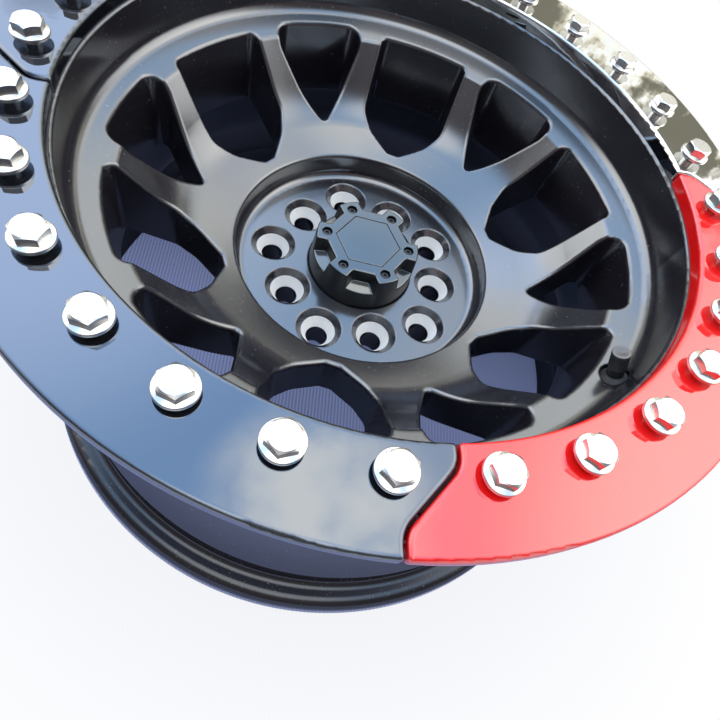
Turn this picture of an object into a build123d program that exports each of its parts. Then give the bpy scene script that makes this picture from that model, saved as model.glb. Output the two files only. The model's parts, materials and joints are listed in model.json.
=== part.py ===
# Beadlock wheel lying on its rear flange, face up: millimetres, axis +Z, floor at Z = 0.
import os
from math import atan2, cos, degrees, radians, sin, tan

from build123d import *

os.makedirs("parts", exist_ok=True)

# Rim section: radii from the wheel's axis, heights above the floor
bead_seat_r = 202.8
flange_height = 18.2
flange_face_z = 15.3
flange_curl_r = 8.0
flange_fillet_r = 6.5
lip_w = 12.5
lip_outer_round = 3.5
lip_inner_round = 2.5
seat_length = 20.0
seat_taper = 5.0
seat_wall = 10.0
seat_round = 3.0
hump_height = 1.0
hump_length = 4.5
hump_foot = 12.0
hump_drop = 2.4
barrel_wall = 7.5
barrel_round = 25.0
clamp_face_w = 28.3
well_setback = 6.0
well_length = 63.583
well_fillet_r = 8.0
rim_height = 223.7
bead_height = 20.0
shelf_lip = 11.2
shelf_edge = 6.9
shelf_round = 2.0
lip_round = 1.5

# Disc: spoke face, hub pocket and mounting pad
band_w = 21.0
band_slope = 19.0
band_fillet_r = 8.0
crease_drop = 37.7
crease_round = 5.0
knee_run = 27.5
knee_drop = 36.5
knee_round = 60.0
hub_pocket_margin = 9.7
hub_pocket_rim_drop = 15.5
hub_pocket_rim_round = 2.5
hub_pocket_fillet_r = 6.0
hub_pocket_depth = 18.4
crease_depth = 48.0
spoke_depth = 30.0
back_fillet_r = 3.5
hub_pad_setback = 6.7
hub_pad_round = 1.2
hub_thickness = 30.6
hub_bore_r = 42.0
hub_bore_length = 11.0
bore_round = 0.6

# Windows through the disc: x runs out from the axis, halves are measured to either side
spoke_count = 6
wide_start = 30.0
window_draft = 3.0
window_edge_r = 2.2
wide_inner_wall = 6.8
wide_inner_half = 5.5
wide_inner_round = 9.0
wide_elbow_run = 12.3
wide_elbow_half = 23.7
wide_elbow_round = 25.0
wide_shoulder_run = 13.2
wide_half = 33.8
wide_shoulder_round = 14.0
wide_overrun = 6.5
wide_corner_r = 6.5
slim_inner_wall = 21.2
slim_half_angle = 38.4
slim_overrun = 9.9
slim_tip_r = 6.6
slim_corner_r = 9.5

# Wheel-nut holes on two circles
lug_count = 5
lug_circle_d = 127.0
lug_start = 40.54
small_lug_circle_d = 114.3
small_lug_start = 4.54
lug_hole_r = 7.4
lug_seat_r = 11.6
lug_mouth_r = 15.5
lug_mouth_depth = 4.5
lug_seat_angle = 60.0

# Clamp ring in four segments, parted along S-shaped gaps
ring_thickness = 8.3
ring_setback = 1.4
ring_edge_r = 1.8
ring_under_cut = 2.3
segment_names = ("black", "red", "chrome", "plain")
split_start = 194.87
split_gap = 1.3
split_inner_shift = 5.9
split_outer_shift = -18.6
split_inner_run = 5.0
split_outer_run = 19.5
split_bend_r = 12.0
split_corner_r = 1.5
rib_depth = 5.0
rib_width = 6.0
rib_inset = 9.0
pip_r = 1.4
pip_height = 5.5
pip_drop = 3.5
pip_inset = 2.2
pip_from_end = 3.4

# Ring bolts, run in but not pulled down, and the thread sleeves that take them
bolt_inset = 16.0
bolts_per_segment = 7
bolt_d = 8.0
bolt_hole_clearance = 0.5
bolt_stand_off = 3.0
bolt_length = 30.0
bolt_end_chamfer = 1.0
head_across_flats = 13.0
head_height = 7.0
head_flange_d = 17.9
head_flange_t = 2.4
head_flange_edge = 1.6
head_flange_round = 0.5
head_top_r = 6.0
head_chamfer_angle = 30.0
head_turns = {
    "black": (20.0, 50.0, 34.0, 58.0, 37.0, 4.0, 48.0),
    "red": (7.0, 35.0, 22.0, 24.0, 41.0, 15.0, 52.0),
    "chrome": (28.0, 11.0, 46.0, 33.0, 5.0, 55.0, 19.0),
    "plain": (42.0, 26.0, 9.0, 51.0, 30.0, 14.0, 38.0),
}
sleeve_wall = 1.6
sleeve_length = 19.0
sleeve_inset = 0.3
sleeve_fit = 0.05
thread_clearance = 0.05
hole_bottom = 0.7

# Centre cap, pushed through from the back
finger_count = 6
cap_step_w = 1.5
cap_lean = 1.8
cap_rise = 26.4
cap_edge_r = 1.2
cap_wall = 4.0
cap_roof = 3.5
cap_core_wall = 4.6
cap_core_drop = 20.0
cap_clearance = 0.3
cap_flange_w = 2.7
cap_flange_t = 3.0
cap_turn = 6.0
finger_length = 9.9
notch_inner_half = 7.6
notch_flare = 28.0
notch_corner_r = 2.0
notch_depth = 10.0
notch_draft = 11.0
ledge_slope = 10.0
plate_margin = 5.1
plate_t = 2.5
plate_gap = 0.3
plate_chamfer = 0.3
screw_inset = 7.0
screw_head_d = 5.8
screw_head_h = 1.5
screw_head_round = 0.5
screw_seat_d = 7.0
screw_seat_depth = 3.0
screw_shank_d = 2.6
screw_length = 6.0
screw_clearance = 0.05
screw_socket_d = 2.8
screw_socket_depth = 0.9
seal_ring_d = 2.4
seal_ring_rise = 8.0
seal_groove_play = 0.2

# Tyre valve, its axis leaning in towards the wheel's axis: heights are along it from its seat
valve_angle = 331.0
valve_tilt = 25.0
valve_inset = 4.9
valve_pocket_r = 8.3
valve_pocket_depth = 4.0
valve_pocket_reach = 14.0
valve_web = 4.0
valve_hole_r = 5.75
valve_back_r = 10.0
valve_back_length = 16.0
stem_clearance = 0.1
bulb_r = 8.2
bulb_tip_r = 5.5
bulb_length = 6.4
bulb_straight = 1.4
collar_r = 7.4
collar_length = 2.5
neck_r = 4.6
neck_foot = 5.2
neck_top = 10.6
barrel_r = 2.9
barrel_thread_r = 3.85
barrel_bore_r = 2.2
barrel_tail_bore_r = 1.2
barrel_tail_step = 5.0
barrel_low = -8.0
barrel_top = 19.6
core_clearance = 0.05
core_length = 9.0
core_recess = 1.2
pin_r = 0.6
pin_clearance = 0.3
pin_rise = 0.6
pin_foot_r = 1.5
pin_foot_t = 0.8
seat_disc_r = 1.7
seat_disc_t = 0.9
seat_disc_gap = 0.1
valve_cap_r = 4.95
valve_cap_top = 21.6
valve_cap_roof = 1.4
valve_cap_gap = 0.5
valve_cap_clearance = 0.3
valve_cap_dish_r = 3.4
valve_cap_dish_depth = 0.6
valve_cap_round = 0.5
cap_disc_r = 3.8
cap_disc_t = 0.5
cap_disc_gap = 0.1
knurl_count = 30
knurl_r = 0.35

# Sides of a hexagon, how far a cutter runs past a face, and how close counts as the same place
hex_sides = 6
overcut = 1.0
same_place = 0.01
upright = 0.95

# Heights and radii that several pieces share: the disc hangs from the rim, its hub is sized by the nut holes
rim_r = bead_seat_r + flange_height
dish_r = bead_seat_r - clamp_face_w
well_r = dish_r - well_setback
crease_r = dish_r - band_w
crease_z = rim_height - crease_drop
knee_r = crease_r - knee_run
knee_z = crease_z - knee_drop
hub_pocket_r = lug_circle_d / 2 + lug_mouth_r + hub_pocket_margin
hub_pocket_rim_z = knee_z - hub_pocket_rim_drop
pad_z = hub_pocket_rim_z - hub_pocket_depth
hub_pad_r = hub_pocket_r - hub_pad_setback
hub_back_z = pad_z - hub_thickness
wide_inner_x = hub_pocket_r + wide_inner_wall
wide_elbow_x = wide_inner_x + wide_elbow_run
wide_shoulder_x = wide_elbow_x + wide_shoulder_run
wide_outer_r = crease_r + wide_overrun
wide_side = (wide_outer_r**2 - wide_half**2) ** 0.5 - wide_shoulder_x
slim_apex_x = hub_pocket_r + slim_inner_wall
slim_outer_r = crease_r + slim_overrun
band_tan = tan(radians(band_slope))
band_outer_z = crease_z + band_w * band_tan
shelf_r = bead_seat_r + shelf_lip
shelf_z = rim_height - bead_height
shelf_low_z = shelf_z - shelf_edge
well_top_z = shelf_low_z - (shelf_r - well_r) * tan(radians(valve_tilt))
well_low_z = well_top_z - well_length
seat_foot_z = flange_face_z + seat_length
hump_foot_z = seat_foot_z + hump_foot
inner_seat_r = bead_seat_r - seat_wall
inner_well_r = well_r - barrel_wall
cap_r = hub_bore_r - cap_step_w - cap_flange_w - cap_clearance
cap_top_r = cap_r - cap_lean
cap_top_z = pad_z + cap_rise
cap_core_z = cap_top_z - cap_core_drop
notch_inner_r = cap_r - finger_length
cap_core_r = notch_inner_r - cap_core_wall
plate_corner_r = notch_inner_r - plate_margin
screw_circle_r = cap_top_r - screw_inset
cap_bore_r = cap_r + cap_clearance
cap_flange_r = cap_r + cap_flange_w
cap_recess_r = cap_flange_r + cap_clearance
cap_step_z = hub_back_z + hub_bore_length
cap_seat_z = cap_step_z + cap_flange_t + cap_clearance
bolt_circle_r = dish_r + bolt_inset
split_inner_bend = bolt_circle_r - split_inner_run
split_outer_bend = bolt_circle_r + split_outer_run
ring_inner_r = dish_r + ring_setback
ring_top_z = rim_height + ring_thickness
bolt_count = bolts_per_segment * len(segment_names)
bolt_pitch = 360.0 / bolt_count
segment_span = 360.0 / len(segment_names)
bolt_hole_r = bolt_d / 2 + bolt_hole_clearance
sleeve_bore_r = bolt_d / 2 + thread_clearance
sleeve_r = sleeve_bore_r + sleeve_wall
sleeve_hole_r = sleeve_r + sleeve_fit
bolt_reach = bolt_length - bolt_stand_off - ring_thickness
sleeve_hole_depth = max(bolt_reach, sleeve_inset + sleeve_length) + hole_bottom

# Valve axis: the seat's centre, and a section plane with the axis up
valve_r = dish_r - valve_inset
valve_turn = radians(valve_angle)
valve_lean = radians(valve_tilt)
valve_out = Vector(cos(valve_turn), sin(valve_turn), 0)
valve_dir = Vector(0, 0, cos(valve_lean)) - valve_out * sin(valve_lean)
valve_across = valve_out * cos(valve_lean) + Vector(0, 0, sin(valve_lean))
valve_mouth = valve_out * valve_r + Vector(0, 0, crease_z + (valve_r - crease_r) * band_tan)
valve_seat = valve_mouth - valve_dir * valve_pocket_depth
valve_plane = Plane(origin=valve_seat, x_dir=valve_across, z_dir=valve_dir)
valve_section = Plane(origin=valve_seat, x_dir=valve_across, z_dir=valve_across.cross(valve_dir))
valve_axis = Axis(valve_seat, valve_dir)

# Corners of the casting's section: radius, height, rounding
casting_section = [
    (dish_r, rim_height, lip_round),
    (bead_seat_r, rim_height, shelf_round),
    (bead_seat_r, shelf_z, shelf_round),
    (shelf_r, shelf_z, shelf_round),
    (shelf_r, shelf_low_z, shelf_round),
    (well_r, well_top_z, well_fillet_r),
    (well_r, well_low_z, barrel_round),
    (bead_seat_r - hump_drop, hump_foot_z, seat_round),
    (bead_seat_r + hump_height, seat_foot_z + hump_length, seat_round),
    (bead_seat_r - seat_length * tan(radians(seat_taper)), seat_foot_z, seat_round),
    (bead_seat_r, flange_face_z, flange_fillet_r),
    (rim_r, flange_face_z, flange_curl_r),
    (rim_r, 0, lip_outer_round),
    (rim_r - lip_w, 0, lip_inner_round),
    (inner_seat_r, flange_face_z, flange_curl_r),
    (inner_seat_r, hump_foot_z, barrel_round),
    (inner_well_r, well_low_z, barrel_round),
    (inner_well_r, crease_z + (inner_well_r - crease_r) * band_tan - crease_depth, back_fillet_r),
    (crease_r, crease_z - crease_depth, crease_round),
    (knee_r, knee_z - spoke_depth, knee_round),
    (hub_pocket_r, hub_pocket_rim_z - spoke_depth, hub_pocket_rim_round),
    (hub_pad_r, hub_back_z, hub_pad_round),
    (hub_bore_r, hub_back_z, bore_round),
    (hub_bore_r, cap_step_z, 0),
    (cap_recess_r, cap_step_z, 0),
    (cap_recess_r, cap_seat_z, 0),
    (cap_bore_r, cap_seat_z, 0),
    (cap_bore_r, pad_z, bore_round),
    (hub_pocket_r, pad_z, hub_pocket_fillet_r),
    (hub_pocket_r, hub_pocket_rim_z, hub_pocket_rim_round),
    (knee_r, knee_z, knee_round),
    (crease_r, crease_z, crease_round),
    (dish_r, band_outer_z, band_fillet_r),
]

# Window cutters, drawn above the band and tapering towards the back
window_plane = Plane.XY.offset(band_outer_z + band_fillet_r)
window_length = band_outer_z + band_fillet_r - hub_back_z

with BuildPart() as wide_window:
    with BuildSketch(window_plane) as wide_outline:
        with BuildLine():
            FilletPolyline(
                (rim_r, -wide_half),
                (wide_shoulder_x, -wide_half),
                (wide_elbow_x, -wide_elbow_half),
                (wide_inner_x, -wide_inner_half),
                (wide_inner_x, wide_inner_half),
                (wide_elbow_x, wide_elbow_half),
                (wide_shoulder_x, wide_half),
                (rim_r, wide_half),
                radius=[
                    wide_shoulder_round,
                    wide_elbow_round,
                    wide_inner_round,
                    wide_inner_round,
                    wide_elbow_round,
                    wide_shoulder_round,
                ],
            )
            Line((rim_r, wide_half), (rim_r, -wide_half))
        make_face()
        Circle(wide_outer_r, mode=Mode.INTERSECT)
        wide_corners = [v for v in wide_outline.vertices() if v.X > wide_shoulder_x + 3 * wide_side / 4 and v.Y]
        fillet(wide_corners, radius=min(wide_corner_r, wide_side / 3))
    extrude(amount=-window_length, taper=window_draft)

slim_reach = rim_r - slim_apex_x
slim_spread = slim_reach * tan(radians(slim_half_angle))
with BuildPart() as slim_window:
    with BuildSketch(window_plane) as slim_outline:
        with BuildLine():
            FilletPolyline(
                (rim_r, -slim_spread),
                (slim_apex_x, 0),
                (rim_r, slim_spread),
                radius=slim_tip_r,
            )
            Line((rim_r, slim_spread), (rim_r, -slim_spread))
        make_face()
        Circle(slim_outer_r, mode=Mode.INTERSECT)
        slim_corners = [v for v in slim_outline.vertices() if v.X > knee_r and abs(v.Y) > slim_tip_r]
        fillet(slim_corners, radius=slim_corner_r)
    extrude(amount=-window_length, taper=window_draft)

# Wheel-nut hole cutter: wide mouth, cone seat, straight hole
lug_mouth_slope = (lug_mouth_r - lug_seat_r) / lug_mouth_depth
lug_seat_depth = (lug_seat_r - lug_hole_r) / tan(radians(lug_seat_angle / 2))
lug_seat_z = pad_z - lug_mouth_depth
with BuildPart() as lug_cutter:
    with BuildSketch(Plane.XZ):
        with BuildLine():
            Polyline(
                (0, pad_z + overcut),
                (lug_mouth_r + overcut * lug_mouth_slope, pad_z + overcut),
                (lug_seat_r, lug_seat_z),
                (lug_hole_r, lug_seat_z - lug_seat_depth),
                (lug_hole_r, hub_back_z - overcut),
                (0, hub_back_z - overcut),
                close=True,
            )
        make_face()
    revolve(axis=Axis.Z)


def on_window_rim(edge):
    """Tells whether an edge runs round the front mouth of a window."""
    point = edge @ 0.5
    radius = (point.X**2 + point.Y**2) ** 0.5
    if not wide_inner_x < radius < slim_outer_r or abs((edge % 0.5).Z) > upright:
        return False
    face_z = max(knee_z + (radius - knee_r) * (crease_z - knee_z) / (crease_r - knee_r), hub_pocket_rim_z)
    if point.Z < face_z - spoke_depth / 2:
        return False
    start = edge @ 0
    start_radius = (start.X**2 + start.Y**2) ** 0.5
    round_axis = abs(start_radius - radius) < same_place and abs(start.Z - point.Z) < same_place
    return not round_axis or radius > crease_r + crease_round


with BuildPart() as wheel_casting:
    with BuildSketch(Plane.XZ):
        with BuildLine():
            FilletPolyline(
                *[(r, z) for r, z, _ in casting_section],
                radius=[rounding for _, _, rounding in casting_section],
                close=True,
            )
        make_face()
    revolve(axis=Axis.Z)
    with PolarLocations(0, spoke_count, start_angle=wide_start):
        add(wide_window.part, mode=Mode.SUBTRACT)
    with PolarLocations(0, spoke_count, start_angle=wide_start + 180 / spoke_count):
        add(slim_window.part, mode=Mode.SUBTRACT)
    fillet([edge for edge in wheel_casting.edges() if on_window_rim(edge)], radius=window_edge_r)
    with PolarLocations(lug_circle_d / 2, lug_count, start_angle=lug_start):
        add(lug_cutter.part, mode=Mode.SUBTRACT)
    with PolarLocations(small_lug_circle_d / 2, lug_count, start_angle=small_lug_start):
        add(lug_cutter.part, mode=Mode.SUBTRACT)
    with BuildSketch(Plane.XY.offset(rim_height)):
        with PolarLocations(bolt_circle_r, bolt_count, start_angle=split_start + bolt_pitch / 2):
            Circle(sleeve_hole_r)
    extrude(amount=-sleeve_hole_depth, mode=Mode.SUBTRACT)
    with BuildSketch(valve_plane):
        Circle(valve_pocket_r)
    extrude(amount=valve_pocket_reach, mode=Mode.SUBTRACT)
    with BuildSketch(valve_plane):
        Circle(valve_hole_r)
    extrude(amount=-valve_web, mode=Mode.SUBTRACT)
    with BuildSketch(valve_plane.offset(-valve_web)):
        Circle(valve_back_r)
    extrude(amount=-valve_back_length, mode=Mode.SUBTRACT)
wheel_casting.part.label = "wheel_casting"
export_step(wheel_casting.part, "parts/wheel_casting.step")

# Clamp ring: each segment lies between two S-shaped splits
split_angle = atan2(split_inner_shift - split_outer_shift, split_outer_bend - split_inner_bend)
split_miter = tan(split_angle / 2)
rib_r = rim_r - rib_inset


def split_path(angle, side):
    """Points of one split from the axis outwards, moved half the gap to one side."""
    turn = radians(angle)
    shift = side * split_gap / 2
    lift = shift * split_miter
    inner = split_inner_shift + shift
    outer = split_outer_shift + shift
    local = [
        (dish_r / 2, inner),
        (split_inner_bend + lift, inner),
        (split_outer_bend + lift, outer),
        (rim_r + ring_thickness, outer),
    ]
    return [(v * cos(turn) - u * sin(turn), v * sin(turn) + u * cos(turn)) for v, u in local]


def on_circle(radius, angle):
    """Point at an angle on a circle round the wheel's axis."""
    return (radius * cos(radians(angle)), radius * sin(radians(angle)))


def at_ring_edge(edge):
    """Tells whether an upright edge stands at the ring's outer or inner wall."""
    point = edge @ 0.5
    radius = (point.X**2 + point.Y**2) ** 0.5
    return min(abs(radius - rim_r), abs(radius - ring_inner_r)) < same_place


for index, name in enumerate(segment_names):
    start = split_start + index * segment_span
    stop = start + segment_span
    first_pip = degrees((split_outer_shift + split_gap / 2 + pip_from_end) / rim_r)
    last_pip = degrees((split_outer_shift - split_gap / 2 - pip_from_end) / rim_r)
    with BuildPart() as ring_segment:
        with BuildSketch(Plane.XY.offset(rim_height)) as segment_outline:
            with BuildLine():
                FilletPolyline(
                    *split_path(start, 1),
                    on_circle(2 * rim_r, start + segment_span / 2),
                    *reversed(split_path(stop, -1)),
                    radius=[0, split_bend_r, split_bend_r, 0, 0, 0, split_bend_r, split_bend_r, 0],
                    close=True,
                )
            make_face()
            Circle(rim_r, mode=Mode.INTERSECT)
            Circle(ring_inner_r, mode=Mode.SUBTRACT)
        extrude(amount=ring_thickness)
        fillet([e for e in ring_segment.edges().filter_by(Axis.Z) if at_ring_edge(e)], radius=split_corner_r)
        fillet(ring_segment.faces().sort_by(Axis.Z)[-1].edges(), radius=ring_edge_r)
        with BuildSketch(Plane.XZ):
            with BuildLine():
                Polyline(
                    (rim_r - ring_under_cut - overcut, rim_height - overcut),
                    (rim_r + overcut, rim_height - overcut),
                    (rim_r + overcut, rim_height + ring_under_cut + overcut),
                    close=True,
                )
            make_face()
        revolve(axis=Axis.Z, mode=Mode.SUBTRACT)
        with BuildSketch(Plane.XY.offset(rim_height)):
            add(segment_outline.sketch_local)
            Circle(rib_r, mode=Mode.INTERSECT)
            Circle(rib_r - rib_width, mode=Mode.SUBTRACT)
        extrude(amount=-rib_depth)
        with BuildSketch(Plane.XY.offset(rim_height + ring_under_cut - pip_drop)):
            with Locations(on_circle(rim_r - pip_inset, start + first_pip)):
                Circle(pip_r)
            with Locations(on_circle(rim_r - pip_inset, stop + last_pip)):
                Circle(pip_r)
        extrude(amount=pip_height)
        with BuildSketch(Plane.XY.offset(rim_height)):
            with Locations(
                *[on_circle(bolt_circle_r, start + (k + 0.5) * bolt_pitch) for k in range(bolts_per_segment)]
            ):
                Circle(bolt_hole_r)
        extrude(amount=ring_thickness, mode=Mode.SUBTRACT)
    ring_segment.part.label = f"ring_segment_{name}"
    export_step(ring_segment.part, f"parts/ring_segment_{name}.step")

# Ring bolt at the origin, the underside of its flange at Z = 0
bolt_r = bolt_d / 2
head_flange_r = head_flange_d / 2
head_slope = tan(radians(head_chamfer_angle))
with BuildPart() as flange_bolt:
    with BuildSketch():
        RegularPolygon(head_across_flats / 2, hex_sides, major_radius=False)
    extrude(amount=head_height)
    with BuildSketch(Plane.XZ):
        with BuildLine():
            Polyline(
                (0, 0),
                (head_flange_r, 0),
                (head_flange_r, head_height - (head_flange_r - head_top_r) * head_slope),
                (head_top_r, head_height),
                (0, head_height),
                close=True,
            )
        make_face()
    revolve(axis=Axis.Z, mode=Mode.INTERSECT)
    with BuildSketch(Plane.XZ):
        with BuildLine():
            FilletPolyline(
                (0, -bolt_length),
                (bolt_r - bolt_end_chamfer, -bolt_length),
                (bolt_r, bolt_end_chamfer - bolt_length),
                (bolt_r, 0),
                (head_flange_r, 0),
                (head_flange_r, head_flange_edge),
                (head_across_flats / 2, head_flange_t),
                (0, head_flange_t),
                radius=[0, 0, 0, 0, 0, head_flange_round, 0, 0],
                close=True,
            )
        make_face()
    revolve(axis=Axis.Z)

for index, name in enumerate(segment_names):
    start = split_start + index * segment_span
    with BuildPart() as ring_bolts:
        for k, turn in enumerate(head_turns[name]):
            angle = start + (k + 0.5) * bolt_pitch
            place = (*on_circle(bolt_circle_r, angle), ring_top_z + bolt_stand_off)
            add(flange_bolt.part.moved(Location(place, (0, 0, angle + turn))))
    ring_bolts.part.label = f"ring_bolts_{name}"
    export_step(ring_bolts.part, f"parts/ring_bolts_{name}.step")

with BuildPart() as thread_inserts:
    with BuildSketch(Plane.XY.offset(rim_height - sleeve_inset)):
        with PolarLocations(bolt_circle_r, bolt_count, start_angle=split_start + bolt_pitch / 2):
            Circle(sleeve_r)
            Circle(sleeve_bore_r, mode=Mode.SUBTRACT)
    extrude(amount=-sleeve_length)
thread_inserts.part.label = "thread_inserts"
export_step(thread_inserts.part, "parts/thread_inserts.step")

# Centre cap: a notched crown over a hollow skirt, its flange behind the casting
notch_reach = cap_flange_r - notch_inner_r
notch_outer_half = notch_inner_half + notch_reach * tan(radians(notch_flare))
notch_floor_z = cap_top_z - notch_depth
notch_low_z = notch_floor_z - notch_reach * tan(radians(ledge_slope))
with BuildPart() as cap_notch:
    with BuildSketch(Plane.XZ):
        with BuildLine():
            Polyline(
                (notch_inner_r, cap_top_z + overcut),
                (notch_inner_r, notch_floor_z),
                (cap_flange_r, notch_low_z),
                (cap_flange_r, cap_top_z + overcut),
                close=True,
            )
        make_face()
    extrude(amount=notch_outer_half, both=True)
    for level in (notch_low_z, cap_top_z + overcut):
        narrowing = (cap_top_z - level) * tan(radians(notch_draft))
        with BuildSketch(Plane.XY.offset(level)):
            with BuildLine():
                FilletPolyline(
                    (notch_inner_r, narrowing - notch_inner_half),
                    (cap_flange_r, narrowing - notch_outer_half),
                    (cap_flange_r, notch_outer_half - narrowing),
                    (notch_inner_r, notch_inner_half - narrowing),
                    radius=[notch_corner_r, 0, 0, notch_corner_r],
                    close=True,
                )
            make_face()
    loft(ruled=True, mode=Mode.INTERSECT)


def on_crown_edge(edge):
    """Tells whether an edge runs round the crown's top or up a notch in its side."""
    ends = (edge @ 0, edge @ 1)
    if all(abs(point.Z - cap_top_z) < same_place for point in ends):
        return True
    return all(
        point.Z > notch_low_z - cap_edge_r and (point.X**2 + point.Y**2) ** 0.5 > cap_top_r - same_place
        for point in ends
    )


seal_z = cap_seat_z + seal_ring_rise
seal_groove_r = cap_bore_r - seal_ring_d
seal_half = seal_ring_d / 2 + seal_groove_play
with BuildPart() as cap_body:
    with BuildSketch(Plane.XZ):
        with BuildLine():
            Polyline(
                (0, cap_top_z),
                (cap_top_r, cap_top_z),
                (cap_r, pad_z),
                (cap_r, seal_z + seal_half),
                (seal_groove_r, seal_z + seal_half),
                (seal_groove_r, seal_z - seal_half),
                (cap_r, seal_z - seal_half),
                (cap_r, cap_seat_z),
                (cap_flange_r, cap_seat_z),
                (cap_flange_r, cap_seat_z - cap_flange_t),
                (cap_r - cap_wall, cap_seat_z - cap_flange_t),
                (cap_r - cap_wall, cap_core_z),
                (cap_core_r, cap_core_z),
                (cap_core_r, cap_top_z - plate_t - cap_roof),
                (0, cap_top_z - plate_t - cap_roof),
                close=True,
            )
        make_face()
    revolve(axis=Axis.Z)
    with PolarLocations(0, finger_count, start_angle=cap_turn + 180 / finger_count):
        add(cap_notch.part, mode=Mode.SUBTRACT)
    fillet([edge for edge in cap_body.edges() if on_crown_edge(edge)], radius=cap_edge_r)
    with BuildSketch(Plane.XY.offset(cap_top_z)):
        RegularPolygon(plate_corner_r + plate_gap, finger_count, rotation=cap_turn)
    extrude(amount=-plate_t, mode=Mode.SUBTRACT)
    with BuildSketch(Plane.XY.offset(cap_top_z)):
        with PolarLocations(screw_circle_r, finger_count, start_angle=cap_turn):
            Circle(screw_seat_d / 2)
    extrude(amount=-screw_seat_depth, mode=Mode.SUBTRACT)
    with BuildSketch(Plane.XY.offset(cap_top_z - screw_seat_depth)):
        with PolarLocations(screw_circle_r, finger_count, start_angle=cap_turn):
            Circle(screw_shank_d / 2 + screw_clearance)
    extrude(amount=-screw_length, mode=Mode.SUBTRACT)
cap_body.part.label = "cap_body"
export_step(cap_body.part, "parts/cap_body.step")

with BuildPart() as cap_plate:
    with BuildSketch(Plane.XY.offset(cap_top_z - plate_t)):
        RegularPolygon(plate_corner_r, finger_count, rotation=cap_turn)
    extrude(amount=plate_t)
    chamfer(cap_plate.faces().sort_by(Axis.Z)[-1].edges(), length=plate_chamfer)
cap_plate.part.label = "cap_plate"
export_step(cap_plate.part, "parts/cap_plate.step")

with BuildPart() as cap_screws:
    with BuildSketch(Plane.XY.offset(cap_top_z - screw_seat_depth)):
        with PolarLocations(screw_circle_r, finger_count, start_angle=cap_turn):
            Circle(screw_head_d / 2)
    extrude(amount=screw_head_h)
    fillet(cap_screws.edges().group_by(Axis.Z)[-1], radius=screw_head_round)
    with BuildSketch(Plane.XY.offset(cap_top_z - screw_seat_depth)):
        with PolarLocations(screw_circle_r, finger_count, start_angle=cap_turn):
            Circle(screw_shank_d / 2)
    extrude(amount=-screw_length)
    with BuildSketch(Plane.XY.offset(cap_top_z - screw_seat_depth + screw_head_h)):
        with PolarLocations(screw_circle_r, finger_count, start_angle=cap_turn):
            RegularPolygon(screw_socket_d / 2, hex_sides)
    extrude(amount=-screw_socket_depth, mode=Mode.SUBTRACT)
cap_screws.part.label = "cap_screws"
export_step(cap_screws.part, "parts/cap_screws.step")

with BuildPart() as cap_o_ring:
    with BuildSketch(Plane.XZ):
        with Locations((cap_bore_r - seal_ring_d / 2, seal_z)):
            Circle(seal_ring_d / 2)
    revolve(axis=Axis.Z)
cap_o_ring.part.label = "cap_o_ring"
export_step(cap_o_ring.part, "parts/cap_o_ring.step")

# Valve: a rubber stem round a brass barrel, a screwed-in core with its pin, and a dust cap
stem_low = -valve_web - stem_clearance - bulb_length
groove_r = valve_hole_r - stem_clearance
with BuildPart() as valve_stem:
    with BuildSketch(valve_section):
        with BuildLine():
            Polyline(
                (barrel_r, stem_low),
                (bulb_tip_r, stem_low),
                (bulb_r, -valve_web - stem_clearance - bulb_straight),
                (bulb_r, -valve_web - stem_clearance),
                (groove_r, -valve_web - stem_clearance),
                (groove_r, stem_clearance),
                (collar_r, stem_clearance),
                (collar_r, collar_length),
                (neck_r, neck_foot),
                (neck_r, neck_top),
                (barrel_r, neck_top),
                close=True,
            )
        make_face()
    revolve(axis=valve_axis)
valve_stem.part.label = "valve_stem"
export_step(valve_stem.part, "parts/valve_stem.step")

core_top = barrel_top - core_recess
core_low = core_top - core_length
with BuildPart() as valve_barrel:
    with BuildSketch(valve_section):
        with BuildLine():
            Polyline(
                (barrel_tail_bore_r, barrel_low),
                (barrel_r, barrel_low),
                (barrel_r, neck_top),
                (barrel_thread_r, neck_top),
                (barrel_thread_r, barrel_top),
                (barrel_bore_r, barrel_top),
                (barrel_bore_r, core_low - barrel_tail_step),
                (barrel_tail_bore_r, core_low - barrel_tail_step),
                close=True,
            )
        make_face()
    revolve(axis=valve_axis)
valve_barrel.part.label = "valve_barrel"
export_step(valve_barrel.part, "parts/valve_barrel.step")

core_r = barrel_bore_r - core_clearance
pin_bore_r = pin_r + pin_clearance
with BuildPart() as valve_core:
    with BuildSketch(valve_section):
        with BuildLine():
            Polyline(
                (pin_bore_r, core_low),
                (core_r, core_low),
                (core_r, core_top),
                (pin_bore_r, core_top),
                close=True,
            )
        make_face()
    revolve(axis=valve_axis)
valve_core.part.label = "valve_core"
export_step(valve_core.part, "parts/valve_core.step")

disc_top = core_low - seat_disc_gap
foot_top = disc_top - seat_disc_t
with BuildPart() as valve_core_pin:
    with BuildSketch(valve_section):
        with BuildLine():
            Polyline(
                (0, foot_top - pin_foot_t),
                (pin_foot_r, foot_top - pin_foot_t),
                (pin_foot_r, foot_top),
                (pin_r, foot_top),
                (pin_r, core_top + pin_rise),
                (0, core_top + pin_rise),
                close=True,
            )
        make_face()
    revolve(axis=valve_axis)
valve_core_pin.part.label = "valve_core_pin"
export_step(valve_core_pin.part, "parts/valve_core_pin.step")

with BuildPart() as valve_core_seal:
    with BuildSketch(valve_plane.offset(foot_top)):
        Circle(seat_disc_r)
        Circle(pin_r, mode=Mode.SUBTRACT)
    extrude(amount=seat_disc_t)
valve_core_seal.part.label = "valve_core_seal"
export_step(valve_core_seal.part, "parts/valve_core_seal.step")

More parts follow.
